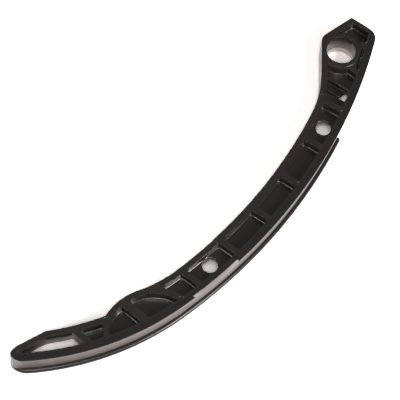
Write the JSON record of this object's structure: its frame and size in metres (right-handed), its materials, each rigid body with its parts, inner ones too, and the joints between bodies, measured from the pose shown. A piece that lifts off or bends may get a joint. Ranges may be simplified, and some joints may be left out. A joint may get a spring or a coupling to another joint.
{
  "type": "timing chain tensioner rail",
  "caption": "Curved moulded chain guide rail with a pivot bore in its head, ribbed pockets on both sides, a tensioner pad and a rounded tip.",
  "frame": {"origin": "axis of the pivot bore, at the rail's far face, on which it lies", "axes": "+X from the bore to the tip of the rail, +Y towards the chain side, +Z along the bore axis from the far face to the near face"},
  "size_m": [0.2541, 0.0564, 0.0148],
  "materials": {
    "rail_plastic": "black glass-filled plastic, fine moulded grain, smooth polished chain face",
    "bush_steel": "plain turned steel"
  },
  "bodies": {
    "root": {"rail_body": "rail_plastic", "pivot_bush": "bush_steel"}
  },
  "joints": []
}
